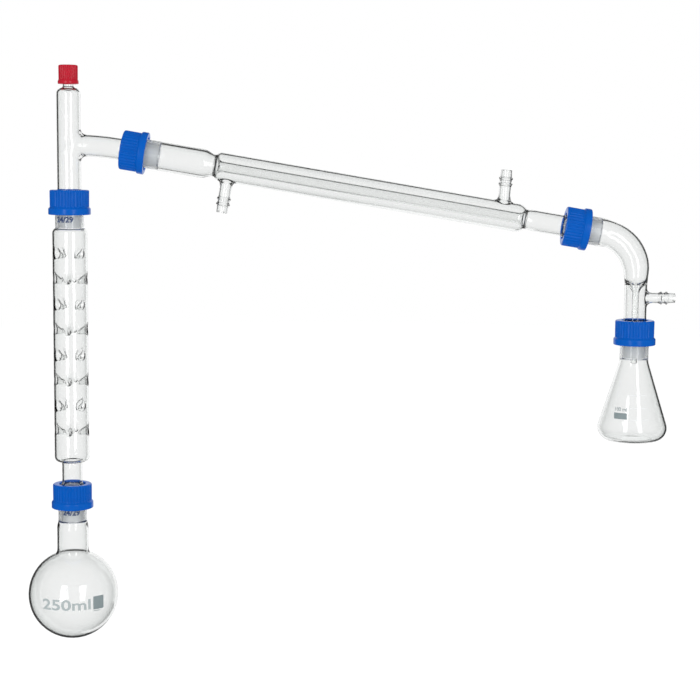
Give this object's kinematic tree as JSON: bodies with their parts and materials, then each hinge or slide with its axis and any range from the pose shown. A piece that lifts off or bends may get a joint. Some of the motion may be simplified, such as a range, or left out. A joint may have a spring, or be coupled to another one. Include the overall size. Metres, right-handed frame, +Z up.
{
  "type": "fractional distillation set",
  "caption": "Glass distillation set: round flask, dented fractionating column, still head, sloping water condenser, bent receiver adapter and conical flask, held by screw-cap ground joints.",
  "frame": {"origin": "on the boiling flask's axis, in the middle of its neck, where a clamp holds it", "axes": "+Z up along the column, +X from the column towards the receiver"},
  "size_m": [0.6078, 0.085, 0.5405],
  "materials": {
    "glass": "clear borosilicate, ground joints frosted",
    "blue_plastic": "moulded, ribbed",
    "dark_plastic": "moulded",
    "red_plastic": "moulded, ribbed",
    "silicone": "translucent white silicone",
    "ptfe": "satin"
  },
  "bodies": {
    "flask": {"boiling_flask": "glass", "flask_seal": "silicone"},
    "column": {"vigreux_column": "glass", "column_seal": "silicone"},
    "head": {"still_head": "glass", "thermometer_seal": "silicone"},
    "condenser": {"condenser_tube": "glass", "condenser_jacket": "glass", "inlet_nozzle": "glass", "outlet_nozzle": "glass", "condenser_seal": "silicone"},
    "receiver": {"receiver_adapter": "glass", "drip_tube": "glass", "vacuum_nozzle": "glass", "receiver_seal": "silicone"},
    "conical": {"conical_flask": "glass", "conical_seal": "silicone"},
    "flask_ring": {"flask_ring": "dark_plastic"},
    "flask_cap": {"flask_cap": "blue_plastic"},
    "column_ring": {"column_ring": "dark_plastic"},
    "column_cap": {"column_cap": "blue_plastic"},
    "condenser_ring": {"condenser_ring": "dark_plastic"},
    "condenser_cap": {"condenser_cap": "blue_plastic"},
    "receiver_ring": {"receiver_ring": "dark_plastic"},
    "receiver_cap": {"receiver_cap": "blue_plastic"},
    "conical_ring": {"conical_ring": "dark_plastic"},
    "conical_cap": {"conical_cap": "blue_plastic"},
    "thermometer_washer": {"thermometer_washer": "ptfe"},
    "thermometer_cap": {"thermometer_cap": "red_plastic"}
  },
  "joints": [
    {"name": "column_turn", "type": "hinge", "parent": "flask", "child": "column", "pos_m": [0, 0, 0.0494], "axis": [0, 0, 1], "continuous": true},
    {"name": "head_turn", "type": "hinge", "parent": "column", "child": "head", "pos_m": [0, 0, 0.3264], "axis": [0, 0, 1], "continuous": true},
    {"name": "condenser_turn", "type": "hinge", "parent": "head", "child": "condenser", "pos_m": [0.05444, 0, 0.36858], "axis": [0.987, 0, -0.1607], "continuous": true},
    {"name": "receiver_turn", "type": "hinge", "parent": "condenser", "child": "receiver", "pos_m": [0.46553, 0, 0.30163], "axis": [0.987, 0, -0.1607], "continuous": true},
    {"name": "conical_turn", "type": "hinge", "parent": "receiver", "child": "conical", "pos_m": [0.52869, 0, 0.20934], "axis": [0, 0, 1], "continuous": true},
    {"name": "flask_cap_lift", "type": "slide", "parent": "flask", "child": "flask_ring", "axis": [0, 0, 1], "range_m": [0, 0.007]},
    {"name": "flask_cap_screw", "type": "hinge", "parent": "flask_ring", "child": "flask_cap", "pos_m": [0, 0, 0.0494], "axis": [0, 0, 1], "range_deg": [0, 720]},
    {"name": "column_cap_lift", "type": "slide", "parent": "column", "child": "column_ring", "axis": [0, 0, 1], "range_m": [0, 0.007]},
    {"name": "column_cap_screw", "type": "hinge", "parent": "column_ring", "child": "column_cap", "pos_m": [0, 0, 0.3264], "axis": [0, 0, 1], "range_deg": [0, 720]},
    {"name": "condenser_cap_lift", "type": "slide", "parent": "condenser", "child": "condenser_ring", "axis": [-0.987, 0, 0.1607], "range_m": [0, 0.007]},
    {"name": "condenser_cap_screw", "type": "hinge", "parent": "condenser_ring", "child": "condenser_cap", "pos_m": [0.05444, 0, 0.36858], "axis": [-0.987, 0, 0.1607], "range_deg": [0, 720]},
    {"name": "receiver_cap_lift", "type": "slide", "parent": "receiver", "child": "receiver_ring", "axis": [-0.987, 0, 0.1607], "range_m": [0, 0.007]},
    {"name": "receiver_cap_screw", "type": "hinge", "parent": "receiver_ring", "child": "receiver_cap", "pos_m": [0.46553, 0, 0.30163], "axis": [-0.987, 0, 0.1607], "range_deg": [0, 720]},
    {"name": "conical_cap_lift", "type": "slide", "parent": "conical", "child": "conical_ring", "axis": [0, 0, 1], "range_m": [0, 0.007]},
    {"name": "conical_cap_screw", "type": "hinge", "parent": "conical_ring", "child": "conical_cap", "pos_m": [0.52869, 0, 0.20934], "axis": [0, 0, 1], "range_deg": [0, 720]},
    {"name": "thermometer_cap_lift", "type": "slide", "parent": "head", "child": "thermometer_washer", "axis": [0, 0, 1], "range_m": [0, 0.005]},
    {"name": "thermometer_cap_screw", "type": "hinge", "parent": "thermometer_washer", "child": "thermometer_cap", "pos_m": [0, 0, 0.4405], "axis": [0, 0, 1], "range_deg": [0, 720]}
  ],
  "couplings": [
    {"joint": "flask_cap_screw", "follows": "flask_cap_lift", "rad_per_m": 1795.2},
    {"joint": "column_cap_screw", "follows": "column_cap_lift", "rad_per_m": 1795.2},
    {"joint": "condenser_cap_screw", "follows": "condenser_cap_lift", "rad_per_m": 1795.2},
    {"joint": "receiver_cap_screw", "follows": "receiver_cap_lift", "rad_per_m": 1795.2},
    {"joint": "conical_cap_screw", "follows": "conical_cap_lift", "rad_per_m": 1795.2},
    {"joint": "thermometer_cap_screw", "follows": "thermometer_cap_lift", "rad_per_m": 2513.3}
  ]
}
